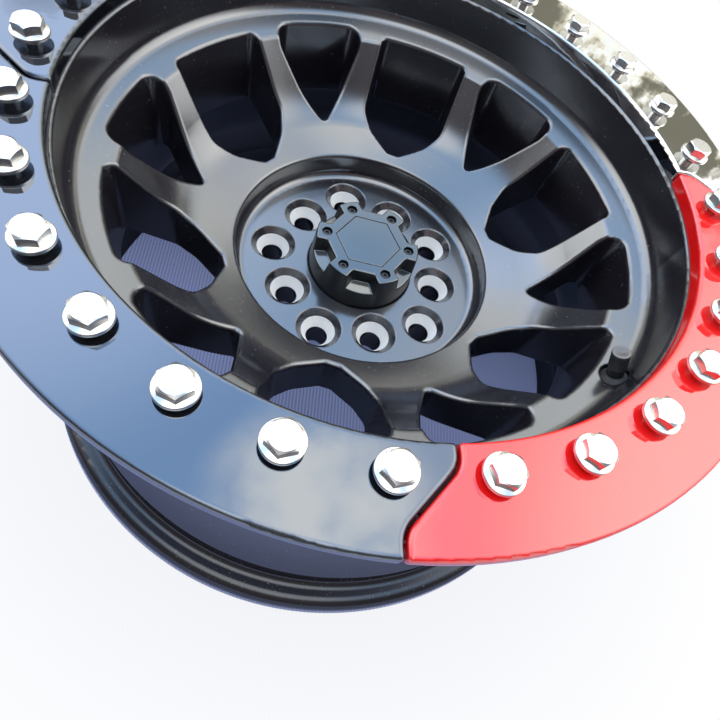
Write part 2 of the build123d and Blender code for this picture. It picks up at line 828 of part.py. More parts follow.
cap_low = neck_top + valve_cap_gap
cap_inner_r = barrel_thread_r + valve_cap_clearance
cap_disc_z = barrel_top + cap_disc_gap
with BuildPart() as valve_cap:
    with BuildSketch(valve_section):
        with BuildLine():
            FilletPolyline(
                (cap_inner_r, cap_low),
                (valve_cap_r, cap_low),
                (valve_cap_r, valve_cap_top),
                (valve_cap_dish_r, valve_cap_top),
                (0, valve_cap_top - valve_cap_dish_depth),
                (0, cap_disc_z + cap_disc_t),
                (cap_inner_r, cap_disc_z + cap_disc_t),
                radius=[0, 0, valve_cap_round, 0, 0, 0, 0],
                close=True,
            )
        make_face()
    revolve(axis=valve_axis)
    with BuildSketch(valve_plane.offset(cap_low)):
        with PolarLocations(valve_cap_r, knurl_count):
            Circle(knurl_r)
    extrude(amount=valve_cap_top - valve_cap_roof - cap_low, mode=Mode.SUBTRACT)
valve_cap.part.label = "valve_cap"
export_step(valve_cap.part, "parts/valve_cap.step")

with BuildPart() as valve_cap_seal:
    with BuildSketch(valve_plane.offset(cap_disc_z)):
        Circle(cap_disc_r)
    extrude(amount=cap_disc_t)
valve_cap_seal.part.label = "valve_cap_seal"
export_step(valve_cap_seal.part, "parts/valve_cap_seal.step")
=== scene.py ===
"""Beadlock wheel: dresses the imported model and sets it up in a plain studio."""

import json
import logging
import math
from abc import ABC, abstractmethod
from collections.abc import Sequence
from dataclasses import dataclass, field
from enum import Enum

import bpy
from mathutils import Matrix, Vector

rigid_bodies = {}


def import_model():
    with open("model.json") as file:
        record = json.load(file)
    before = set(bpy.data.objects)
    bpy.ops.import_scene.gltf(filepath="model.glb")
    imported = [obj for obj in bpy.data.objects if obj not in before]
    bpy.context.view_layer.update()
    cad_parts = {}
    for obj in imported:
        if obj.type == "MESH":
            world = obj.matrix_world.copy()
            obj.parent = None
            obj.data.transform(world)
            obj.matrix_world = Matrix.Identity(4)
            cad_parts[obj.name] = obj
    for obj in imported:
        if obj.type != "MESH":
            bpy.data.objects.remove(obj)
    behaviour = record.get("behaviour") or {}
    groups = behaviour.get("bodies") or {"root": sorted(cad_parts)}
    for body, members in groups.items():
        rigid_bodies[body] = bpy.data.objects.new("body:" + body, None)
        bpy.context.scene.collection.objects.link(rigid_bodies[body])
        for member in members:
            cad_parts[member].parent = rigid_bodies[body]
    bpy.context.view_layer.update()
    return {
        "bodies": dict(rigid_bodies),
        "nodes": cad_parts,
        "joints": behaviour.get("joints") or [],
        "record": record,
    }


log = logging.getLogger("beadlock_wheel")

MM = 0.001
MM_PER_M = 1000.0
NOISE_MEAN = 0.5

Colour = tuple[float, float, float]
Triple = tuple[float, float, float]
Band = tuple[float, float]
Socket = bpy.types.NodeSocket

WHITE: Colour = (1.0, 1.0, 1.0)


class Piece(Enum):
    """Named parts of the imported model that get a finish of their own."""

    CASTING = "wheel_casting"
    INSERTS = "thread_inserts"
    CAP_BODY = "cap_body"
    CAP_PLATE = "cap_plate"
    CAP_SCREWS = "cap_screws"
    CAP_SEAL = "cap_o_ring"
    STEM = "valve_stem"
    BARREL = "valve_barrel"
    CORE = "valve_core"
    PIN = "valve_core_pin"
    CORE_SEAL = "valve_core_seal"
    DUST_CAP = "valve_cap"
    DUST_SEAL = "valve_cap_seal"


class Segment(Enum):
    """The clamp ring's four quarters, named by their finish."""

    BLACK = "black"
    RED = "red"
    CHROME = "chrome"
    PLAIN = "plain"


class Space(Enum):
    """Coordinates that a pattern can follow."""

    OBJECT = "Object"  # metres on the object
    NORMAL = "Normal"  # the way the surface faces
    GENERATED = "Generated"  # a direction, in the world


@dataclass(frozen=True)
class Pattern:
    """A noise: its waves per metre, its octaves and the weight of the finer ones."""

    scale: float
    detail: float = 2.0
    roughness: float = 0.5


@dataclass(frozen=True)
class Relief:
    """A bump: the metres that a height of 1 stands for, and the share of its effect."""

    depth: float
    strength: float


class Value:
    """A shader socket that Python expressions can work with."""

    def __init__(self, graph: "Graph", socket: Socket) -> None:
        """Keeps the socket and the graph it belongs to."""
        self.graph = graph
        self.socket = socket

    def __add__(self, other: "Value | float") -> "Value":
        """Sum of two values."""
        return self.graph.math("ADD", self, other)

    def __radd__(self, other: float) -> "Value":
        """Sum with the number first."""
        return self.graph.math("ADD", other, self)

    def __sub__(self, other: "Value | float") -> "Value":
        """Difference of two values."""
        return self.graph.math("SUBTRACT", self, other)

    def __rsub__(self, other: float) -> "Value":
        """Difference with the number first."""
        return self.graph.math("SUBTRACT", other, self)

    def __mul__(self, other: "Value | float") -> "Value":
        """Product of two values."""
        return self.graph.math("MULTIPLY", self, other)

    def __rmul__(self, other: float) -> "Value":
        """Product with the number first."""
        return self.graph.math("MULTIPLY", other, self)

    def __pow__(self, other: float) -> "Value":
        """Value raised to a power."""
        return self.graph.math("POWER", self, other)

    def __lt__(self, other: "Value | float") -> "Value":
        """One where the value is smaller, else zero."""
        return self.graph.math("LESS_THAN", self, other)

    def __gt__(self, other: "Value | float") -> "Value":
        """One where the value is larger, else zero."""
        return self.graph.math("GREATER_THAN", self, other)

    def towards(self, other: "Value | float", share: "Value") -> "Value":
        """This value where the share is 0, the other one where it is 1."""
        return self * (1.0 - share) + other * share

    def rise(self, low: float, high: float) -> "Value":
        """Smooth step from 0 at low to 1 at high.

        Args:
            low: value at which the step starts.
            high: value at which it ends.

        Returns:
            The step as a value.
        """
        settings = {"interpolation_type": "SMOOTHSTEP"}
        inputs = {"Value": self, "From Min": low, "From Max": high, "To Min": 0.0, "To Max": 1.0}
        return self.graph.out("ShaderNodeMapRange", settings, inputs, "Result")


@dataclass(frozen=True)
class Swing:
    """A factor that follows a pattern: what it is at 0 and what it gains by 1."""

    low: float
    gain: float

    def at(self, pattern: Value) -> Value:
        """The factor at a value of the pattern."""
        return self.low + self.gain * pattern


def length(x: Value, y: Value) -> Value:
    """Length of a flat vector."""
    return (x * x + y * y) ** 0.5


def dot(first: Sequence[Value], second: Sequence["Value | float"]) -> Value:
    """Sum of the products of two triples."""
    return first[0] * second[0] + first[1] * second[1] + first[2] * second[2]


class Graph:
    """A node tree that is written as expressions."""

    FIRST_COLOUR = 6  # sockets of a Mix node that blends colours
    SECOND_COLOUR = 7
    MIXED_COLOUR = 2
    EDGE_SAMPLES = 6

    def __init__(self, tree: bpy.types.NodeTree) -> None:
        """Takes over a tree and clears it."""
        self.tree = tree
        tree.nodes.clear()

    def node(
        self, kind: str, settings: dict | None = None, inputs: dict | None = None
    ) -> bpy.types.Node:
        """Adds a node, sets it up and feeds its sockets.

        Args:
            kind: the node's type name.
            settings: attributes set first.
            inputs: socket name or number to a number, colour, Value or socket.

        Returns:
            The new node.
        """
        made = self.tree.nodes.new(kind)
        for name, setting in (settings or {}).items():
            setattr(made, name, setting)
        for name, given in (inputs or {}).items():
            socket = made.inputs[name]
            source = given.socket if isinstance(given, Value) else given
            if isinstance(source, Socket):
                self.tree.links.new(source, socket)
            elif socket.type == "RGBA":
                socket.default_value = (*source, 1.0)
            else:
                socket.default_value = source
        return made

    def out(
        self, kind: str, settings: dict | None, inputs: dict | None, name: str | int = 0
    ) -> Value:
        """Adds a node and returns one of its outputs.

        Args:
            kind: the node's type name.
            settings: attributes set first.
            inputs: values or links of its sockets.
            name: output name or number.

        Returns:
            The output as a value.
        """
        return Value(self, self.node(kind, settings, inputs).outputs[name])

    def shader(self, kind: str, inputs: dict | None = None) -> Socket:
        """Adds a shader node and returns its output."""
        return self.node(kind, None, inputs).outputs[0]

    def blend(self, share: Value, first: Socket, second: Socket) -> Socket:
        """Shader that is the first where the share is 0 and the second where it is 1."""
        return self.shader("ShaderNodeMixShader", {0: share, 1: first, 2: second})

    def math(self, operation: str, *values: "Value | float") -> Value:
        """Adds one Math node.

        Args:
            operation: the node's operation.
            values: what feeds it, in order.

        Returns:
            Its result.
        """
        return self.out("ShaderNodeMath", {"operation": operation}, dict(enumerate(values)))

    def wave(self, phase: Value) -> Value:
        """Sine wave between 0 and 1."""
        return self.math("SINE", phase) * 0.5 + 0.5

    def place(self, space: Space = Space.OBJECT) -> tuple[Value, Value, Value]:
        """Coordinates of the shaded point.

        Args:
            space: which coordinates are meant.

        Returns:
            The three coordinates.
        """
        where = self.out("ShaderNodeTexCoord", None, None, space.value)
        split = self.node("ShaderNodeSeparateXYZ", None, {0: where})
        x, y, z = (Value(self, output) for output in split.outputs)
        return x, y, z

    def noise(self, pattern: Pattern, space: Space = Space.OBJECT) -> Value:
        """Noise on the coordinates of the shaded point.

        Args:
            pattern: the noise's sizes.
            space: which coordinates it uses.

        Returns:
            The noise, about NOISE_MEAN on average.
        """
        inputs = {
            "Vector": self.out("ShaderNodeTexCoord", None, None, space.value),
            "Scale": pattern.scale,
            "Detail": pattern.detail,
            "Roughness": pattern.roughness,
        }
        return self.out("ShaderNodeTexNoise", {"noise_dimensions": "3D"}, inputs)

    def mix(self, factor: Value, first: "Value | Colour", second: "Value | Colour") -> Value:
        """Blend of two colours.

        Args:
            factor: 0 gives the first, 1 the second.
            first: a colour.
            second: another colour.

        Returns:
            The blend.
        """
        inputs = {"Factor": factor, self.FIRST_COLOUR: first, self.SECOND_COLOUR: second}
        return self.out("ShaderNodeMix", {"data_type": "RGBA"}, inputs, self.MIXED_COLOUR)

    def bump(self, height: Value, relief: Relief, edge_r: float = 0.0) -> Value:
        """Normal bent by a height.

        Args:
            height: the height, 0 to 1.
            relief: how deep and how strong the bump is.
            edge_r: how far edges are softened, in metres.

        Returns:
            The normal.
        """
        inputs = {"Height": height, "Distance": relief.depth, "Strength": relief.strength}
        if edge_r:
            settings = {"samples": self.EDGE_SAMPLES}
            inputs["Normal"] = self.out("ShaderNodeBevel", settings, {"Radius": edge_r})
        return self.out("ShaderNodeBump", None, inputs)


@dataclass(frozen=True)
class Finish(ABC):
    """What every finish shares: a name, a colour and its gloss."""

    name: str
    colour: Colour
    roughness: float = 0.4
    metallic: float = 0.0
    ior: float = 1.5
    # tints reflections; the blue tints given below are painted reflection colour, standing in for
    # blue sky
    sheen: Colour = WHITE

    def surface(self, graph: Graph, inputs: dict) -> Socket:
        """Adds a surface shader.

        Args:
            graph: the material's graph.
            inputs: sockets that differ from the finish's own values.

        Returns:
            The shader's output.
        """
        fixed = {
            "Base Color": self.colour,
            "Roughness": self.roughness,
            "Metallic": self.metallic,
            "IOR": self.ior,
            "Specular Tint": self.sheen,
        }
        return graph.shader("ShaderNodeBsdfPrincipled", {**fixed, **inputs})

    @abstractmethod
    def paint(self, graph: Graph) -> Socket:
        """Fills the graph and returns the shader of the finish."""

    def material(self) -> bpy.types.Material:
        """Makes the material.

        Returns:
            The new material.
        """
        made = bpy.data.materials.new(self.name)
        made.use_nodes = True
        graph = Graph(made.node_tree)
        graph.node("ShaderNodeOutputMaterial", None, {"Surface": self.paint(graph)})
        made.diffuse_color = (*self.colour, 1.0)
        return made


@dataclass(frozen=True)
class SatinPaint(Finish):
    """Satin paint over the casting, left off the machined cone seats of the nut holes.

    Radii and heights are in millimetres and angles in degrees, apart from edge_r in metres.
    A stud circle has its radius and the angle of its first hole.
    """

    stud_circles: tuple[tuple[float, float], ...] = ((63.5, 40.54), (57.15, 4.54))
    stud_step: float = 72.0
    seat_r: float = 11.62
    seat_low: float = 103.83
    seat_high: float = 111.1
    bare: Colour = (1.0, 0.985, 0.95)
    bare_rough: Swing = Swing(0.5, 0.1)
    bare_metallic: float = 0.02
    tool_marks: float = 9.0  # radians per millimetre of height
    clamp_face_z: float = 223.55
    clamp_rough: float = 0.9
    rear_ior: float = 1.75
    rear_band: Band = (18.0, 110.0)
    patches: Pattern = Pattern(25.0, 3.0)
    patch_rough: Swing = Swing(0.9, 0.2)
    grain: Pattern = Pattern(2600.0)
    grain_rough: float = 0.04
    relief: Relief = Relief(0.00001, 0.35)
    edge_r: float = 0.0016
    dust: Colour = (0.3, 0.29, 0.27)
    specks: Pattern = Pattern(700.0, 1.0)
    speck_band: Band = (0.72, 0.76)
    speck_share: float = 0.5
    streaks: Pattern = Pattern(70.0, 5.0, 0.7)
    streak_band: Band = (0.55, 0.8)
    streak_share: float = 0.03

    def seat_distance(self, graph: Graph) -> Value:
        """Distance from the axis of the nearest nut hole, in millimetres.

        Args:
            graph: the material's graph.

        Returns:
            The distance.
        """
        x, y, _ = graph.place()
        radius = length(x, y) * MM_PER_M
        turn = graph.math("ARCTAN2", y, x) * math.degrees(1.0)
        half_step = self.stud_step / 2
        nearest: Value | None = None
        for circle, start in self.stud_circles:
            shifted = turn - start + half_step
            folded = graph.math("FLOORED_MODULO", shifted, self.stud_step) - half_step
            angle = folded * math.radians(1.0)
            along = radius * graph.math("COSINE", angle) - circle
            across = radius * graph.math("SINE", angle)
            distance = length(along, across)
            nearest = distance if nearest is None else graph.math("MINIMUM", nearest, distance)
        return nearest

    def paint(self, graph: Graph) -> Socket:
        """Fills the graph: satin black with fine grain, bare turned seats and some dust.

        Args:
            graph: the material's graph.

        Returns:
            The shader, which shines less towards the rear flange.
        """
        distance = self.seat_distance(graph)
        _, _, z = graph.place()
        height = z * MM_PER_M
        bare = (distance < self.seat_r) * (height > self.seat_low) * (height < self.seat_high)
        turned = graph.wave(height * self.tool_marks)
        patches = graph.noise(self.patches)
        grain = graph.noise(self.grain)
        rough = self.roughness * self.patch_rough.at(patches)
        rough = rough + self.grain_rough * (grain - NOISE_MEAN)
        rough = rough.towards(self.clamp_rough, height > self.clamp_face_z)
        rough = rough.towards(self.bare_rough.at(turned), bare)
        specks = graph.noise(self.specks).rise(*self.speck_band)
        streaks = graph.noise(self.streaks).rise(*self.streak_band)
        dusty = specks * self.speck_share + streaks * self.streak_share
        colour = graph.mix(dusty, self.colour, self.dust)
        relief = grain.towards(turned, bare)
        front = {
            "Base Color": graph.mix(bare, colour, self.bare),
            "Roughness": rough,
            "Metallic": bare * self.bare_metallic,
            "Normal": graph.bump(relief, self.relief, self.edge_r),
        }
        rear = {**front, "IOR": self.rear_ior}
        share = height.rise(*self.rear_band)
        return graph.blend(share, self.surface(graph, rear), self.surface(graph, front))


@dataclass(frozen=True)
class GlossPaint(Finish):
    """Sprayed gloss paint with a faint orange peel."""

    peel: Pattern = Pattern(170.0, 2.0, 0.4)
    relief: Relief = Relief(0.00012, 0.12)
    edge_r: float = 0.0015
    patches: Pattern = Pattern(40.0)
    patch_rough: Swing = Swing(0.9, 0.2)
    dust: Colour = (0.5, 0.5, 0.5)
    specks: Pattern = Pattern(1000.0, 1.0)
    speck_band: Band = (0.81, 0.84)
    speck_share: float = 0.4

    def paint(self, graph: Graph) -> Socket:
        """Fills the graph: even colour, slight orange peel and a few dust specks.

        Args:
            graph: the material's graph.

        Returns:
            The shader.
        """
        peel = graph.noise(self.peel)
        specks = graph.noise(self.specks).rise(*self.speck_band)
        inputs = {
            "Base Color": graph.mix(specks * self.speck_share, self.colour, self.dust),
            "Roughness": self.roughness * self.patch_rough.at(graph.noise(self.patches)),
            "Normal": graph.bump(peel, self.relief, self.edge_r),
        }
        return self.surface(graph, inputs)


@dataclass(frozen=True)
class Plating(Finish):
    """Bright plating on metal, faintly uneven."""

    waves: Pattern = Pattern(90.0, 2.0, 0.4)
    relief: Relief = Relief(0.00015, 0.1)
    smears: Pattern = Pattern(35.0, 4.0, 0.6)
    smear: float = 0.25
    smear_band: Band = (0.45, 0.75)
    smear_share: float = 0.35
    smear_dim: float = 0.86

    def paint(self, graph: Graph) -> Socket:
        """Fills the graph: plated metal with soft waves and smears.

        Args:
            graph: the material's graph.

        Returns:
            The shader.
        """
        waves = graph.noise(self.waves)
        smears = graph.noise(self.smears)
        smeared = smears.rise(*self.smear_band) * self.smear_share
        dimmed = tuple(self.smear_dim * part for part in self.colour)
        uneven = Swing(1.0 - self.smear, 2.0 * self.smear)
        inputs = {
            "Base Color": graph.mix(smeared, self.colour, dimmed),
            "Roughness": self.roughness * uneven.at(smears),
            "Normal": graph.bump(waves, self.relief),
        }
        return self.surface(graph, inputs)


@dataclass(frozen=True)
class Moulded(Finish):
    """Moulded plastic or rubber with a fine grain."""

    grain: Pattern = Pattern(1800.0)
    relief: Relief = Relief(0.00002, 0.3)
    edge_r: float = 0.0
    patches: Pattern = Pattern(45.0, 3.0)
    patch_rough: Swing = Swing(0.85, 0.3)

    def uneven(self, graph: Graph) -> dict:
        """Fine grain and uneven sheen.

        Args:
            graph: the material's graph.

        Returns:
            The sockets that they feed.
        """
        grain = graph.noise(self.grain)
        return {
            "Roughness": self.roughness * self.patch_rough.at(graph.noise(self.patches)),
            "Normal": graph.bump(grain, self.relief, self.edge_r),
        }

    def paint(self, graph: Graph) -> Socket:
        """Fills the graph: even colour with fine grain and uneven sheen."""
        return self.surface(graph, self.uneven(graph))


@dataclass(frozen=True)
class CapPlastic(Moulded):
    """Moulded plastic whose walls shine less than the faces that look up, as painted shade."""

    edge_r: float = 0.0009
    # walls: lower reflectance and more roughness, so they read darker as painted shade
    shaded_wall_ior: float = 1.5
    shaded_wall_rough: float = 0.36
    facing: Band = (0.25, 0.75)

    def paint(self, graph: Graph) -> Socket:
        """Fills the graph: glossier upper faces over walls darkened as painted shade.

        Args:
            graph: the material's graph.

        Returns:
            The shader.
        """
        _, _, up = graph.place(Space.NORMAL)
        faces = self.uneven(graph)
        # painted shade: walls reflect less than the faces that look up
        walls = {**faces, "IOR": self.shaded_wall_ior, "Roughness": self.shaded_wall_rough}
        share = up.rise(*self.facing)
        return graph.blend(share, self.surface(graph, walls), self.surface(graph, faces))


@dataclass(frozen=True)
class DustAndHighlightPlastic(Moulded):
    """Valve plastic or rubber with some road dust and paler painted highlights on ridges and tops.

    The valve's place and radii are in millimetres.
    """

    patches: Pattern = Pattern(420.0, 4.0, 0.6)
    patch_rough: Swing = Swing(0.8, 0.4)
    patch_dust: float = 0.5
    # grey of dust, also used as the paler colour of the painted highlights
    dust: Colour = (0.30, 0.30, 0.31)
    dust_and_highlight_share: float = 0.3
    # painted highlight: faces that look up turn paler; the small base share is dust everywhere
    dust_and_highlight: Swing = Swing(0.08, 0.92)
    highlight_facing: Band = (0.4, 0.95)
    middle: Triple = (142.44, -78.956, 206.0)
    lean: Triple = (-0.36963, 0.20489, 0.90631)
    fade: float = 0.1
    ridge_r: float = 4.8
    # painted highlights on the knurl ridges and on the top rim
    ridge_highlight_share: float = 0.35
    rim_r: float = 3.5
    rim_highlight_share: float = 0.5
    rim_highlight_facing: Band = (0.6, 0.9)

    def axis_distance(self, graph: Graph) -> Value:
        """Distance from the valve's leaning axis, in millimetres.

        Args:
            graph: the material's graph.

        Returns:
            The distance.
        """
        offsets = [part * MM_PER_M - start for part, start in zip(graph.place(), self.middle)]
        along = dot(offsets, self.lean)
        return graph.math("MAXIMUM", dot(offsets, offsets) - along * along, 0.0) ** 0.5

    def paint(self, graph: Graph) -> Socket:
        """Fills the graph: patchy dust, and painted highlights on ridges, rim and upward faces.

        Args:
            graph: the material's graph.

        Returns:
            The shader.
        """
        _, _, up = graph.place(Space.NORMAL)
        patches = graph.noise(self.patches)
        grain = graph.noise(self.grain)
        away = self.axis_distance(graph)
        # painted highlights: paler knurl ridges and a paler rim on the top
        ridge_highlights = away.rise(self.ridge_r, self.ridge_r + self.fade)
        rim = away.rise(self.rim_r - self.fade, self.rim_r + self.fade) * up.rise(*self.rim_highlight_facing)
        dust_and_highlight = self.dust_and_highlight.at(up.rise(*self.highlight_facing))
        dust_and_highlight = dust_and_highlight + self.ridge_highlight_share * ridge_highlights + self.rim_highlight_share * rim
        # random patchy dust, made stronger as painted highlight on tops, ridges and rim
        dusty = dust_and_highlight * (self.patch_dust + patches) * self.dust_and_highlight_share
        inputs = {
            "Base Color": graph.mix(dusty, self.colour, self.dust),
            "Roughness": self.roughness * self.patch_rough.at(patches),
            "Normal": graph.bump(grain, self.relief),
        }
        return self.surface(graph, inputs)


# the violet in this black is painted shade colour, as in the dark window walls; its blue
# reflection tint is painted reflection colour
CASTING_PAINT = SatinPaint(
    "casting_satin_black", (0.013, 0.0115, 0.016), 0.19, ior=2.8, sheen=(0.92, 0.96, 1.0)
)
# blue reflection tint: painted reflection colour of blue sky
RING_BLACK = GlossPaint(
    "ring_gloss_black", (0.008, 0.009, 0.011), 0.04, ior=2.9, sheen=(0.72, 0.82, 0.98)
)
RING_RED = GlossPaint("ring_gloss_red", (1.0, 0.012, 0.013), 0.04, ior=2.2)
RING_CHROME = Plating("ring_chrome", (0.88, 0.89, 0.89), 0.018, 1.0, smear=0.4)
BOLT_ZINC = Plating("bolt_bright_zinc", (0.84, 0.83, 0.81), 0.24, 1.0)
SLEEVE_STEEL = Plating("sleeve_steel", (0.55, 0.55, 0.56), 0.35, 1.0)
# cap and plate: painted shade on their walls, and a blue tint on reflections as painted reflection
# colour
CAP_PLASTIC = CapPlastic(
    "cap_satin_black", (0.009, 0.0095, 0.011), 0.13, ior=2.5, sheen=(0.86, 0.95, 1.0)
)
PLATE_PLASTIC = CapPlastic(
    "cap_plate_satin_black", (0.010, 0.0105, 0.012), 0.13, ior=2.5, sheen=(0.86, 0.95, 1.0)
)
SCREW_BLACK = Plating("cap_screw_black", (0.07, 0.07, 0.075), 0.3, 1.0)
SEAL_RUBBER = Moulded("seal_rubber", (0.02, 0.02, 0.02), 0.6)
# the valve stem and dust cap both get painted highlights on upward faces and outer ridges
STEM_RUBBER = DustAndHighlightPlastic("valve_stem_rubber", (0.016, 0.016, 0.017), 0.5, dust_and_highlight_share=0.2)
VALVE_BRASS = Plating("valve_brass", (0.72, 0.53, 0.24), 0.25, 1.0)
DUST_CAP_PLASTIC = DustAndHighlightPlastic("valve_cap_black", (0.018, 0.018, 0.020), 0.34, ior=1.9)


@dataclass
class Dresser:
    """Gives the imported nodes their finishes."""

    frame: dict
    made: dict[str, bpy.types.Material] = field(default_factory=dict)

    def dress(self, node: str, finish: Finish) -> None:
        """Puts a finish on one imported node.

        Args:
            node: the node's name.
            finish: the finish to use.
        """
        if finish.name not in self.made:
            self.made[finish.name] = finish.material()
        thing = self.frame["nodes"][node]
        thing.data.materials.clear()
        thing.data.materials.append(self.made[finish.name])
        log.info("%s wears %s", thing.name, finish.name)

    def dress_pieces(self, finishes: dict[Piece, Finish]) -> None:
        """Puts finishes on several pieces, in order."""
        for piece, finish in finishes.items():
            self.dress(piece.value, finish)


@dataclass
class ClampRing:
    """The four ring segments and their bolts."""

    dresser: Dresser

    def dress(self) -> None:
        """Dresses the segments and bolts."""
        finishes = {
            Segment.BLACK: RING_BLACK,
            Segment.RED: RING_RED,
            Segment.CHROME: RING_CHROME,
            Segment.PLAIN: RING_BLACK,
        }
        for segment, finish in finishes.items():
            self.dresser.dress(f"ring_segment_{segment.value}", finish)
            self.dresser.dress(f"ring_bolts_{segment.value}", BOLT_ZINC)


@dataclass
class WheelBody:
    """The casting, its thread sleeves and the centre cap."""

    dresser: Dresser

    def dress(self) -> None:
        """Dresses the casting, sleeves and cap."""
        finishes = {
            Piece.CASTING: CASTING_PAINT,
            Piece.INSERTS: SLEEVE_STEEL,
            Piece.CAP_BODY: CAP_PLASTIC,
            Piece.CAP_PLATE: PLATE_PLASTIC,
            Piece.CAP_SCREWS: SCREW_BLACK,
            Piece.CAP_SEAL: SEAL_RUBBER,
        }
        self.dresser.dress_pieces(finishes)


@dataclass
class Valve:
    """The tyre valve and its dust cap."""

    dresser: Dresser

    def dress(self) -> None:
        """Dresses the valve's pieces."""
        finishes = {
            Piece.STEM: STEM_RUBBER,
            Piece.BARREL: VALVE_BRASS,
            Piece.CORE: VALVE_BRASS,
            Piece.PIN: VALVE_BRASS,
            Piece.CORE_SEAL: SEAL_RUBBER,
            Piece.DUST_CAP: DUST_CAP_PLASTIC,
            Piece.DUST_SEAL: SEAL_RUBBER,
        }
        self.dresser.dress_pieces(finishes)


@dataclass(frozen=True)
class FloorFinish(Finish):
    """Pale ribbed sheet that reads white away from the wheel and keeps its shadow.

    Lengths are in metres. From below it is clear, so that the wheel's rear can be seen.
    """

    wheel_r: float = 0.222
    clear_r: float = 0.42
    shade: float = 0.14
    mirror_band: Band = (0.30, 0.70)
    barrel_r: float = 0.207
    # painted light: bluish glow standing in for sky light through the windows on the floor inside
    # the barrel
    painted_window_light: Colour = (0.17, 0.21, 0.40)
    under_rib: Swing = Swing(0.48, 0.36)
    under_far: Band = (-0.06, 0.10)
    under_far_gain: float = 0.55
    under_left: Band = (0.04, 0.13)
    under_left_gain: float = 0.5
    rib_pitch: float = 0.0028
    rib_turn: float = 10.0
    rib_dim: float = 0.8

    def paint(self, graph: Graph) -> Socket:
        """Fills the graph: a lit sheet, white far off, with painted light glowing inside the
        barrel.

        Args:
            graph: the material's graph.

        Returns:
            The shader.
        """
        x, y, _ = graph.place()
        radius = length(x, y)
        turn = math.radians(self.rib_turn)
        across = x * math.cos(turn) + y * math.sin(turn)
        rib = graph.wave(across * (2.0 * math.pi / self.rib_pitch))

        path = graph.node("ShaderNodeLightPath").outputs
        camera = Value(graph, path["Is Camera Ray"])
        glossy = Value(graph, path["Is Glossy Ray"])
        mirror = graph.math("MAXIMUM", glossy, Value(graph, path["Is Transmission Ray"]))

        lit = 1.0 - self.shade + self.shade * radius.rise(self.wheel_r, self.clear_r)
        white_share = camera * (radius > self.wheel_r) * lit
        white_share = white_share + mirror * radius.rise(*self.mirror_band)
        # painted light through the windows: seen by the camera only, dimmer further back, brighter
        # to the left, ribbed
        fading = 1.0 - self.under_far_gain * y.rise(*self.under_far)
        fading = fading * (1.0 + self.under_left_gain * (0.0 - x).rise(*self.under_left))
        window_light_share = camera * (radius < self.barrel_r) * fading * self.under_rib.at(rib)

        groove = tuple(self.rib_dim * part for part in self.colour)
        ribbed = graph.mix(rib, groove, self.colour)
        surface = graph.shader("ShaderNodeBsdfDiffuse", {"Color": ribbed})
        for share, glow in ((white_share, WHITE), (window_light_share, self.painted_window_light)):
            light = graph.shader("ShaderNodeEmission", {"Color": glow, "Strength": 1.0})
            surface = graph.blend(share, surface, light)
        below = graph.out("ShaderNodeNewGeometry", None, None, "Backfacing")
        return graph.blend(below, surface, graph.shader("ShaderNodeBsdfTransparent"))


@dataclass(frozen=True)
class Lobe:
    """A soft bright part of the room: direction, edges as cosines, colour and share."""

    axis: Triple
    outer: float
    inner: float
    colour: Colour
    share: float = 1.0

    def cover(self, direction: Sequence[Value]) -> Value:
        """How much of the lobe there is in a direction."""
        return dot(direction, self.axis).rise(self.outer, self.inner) * self.share


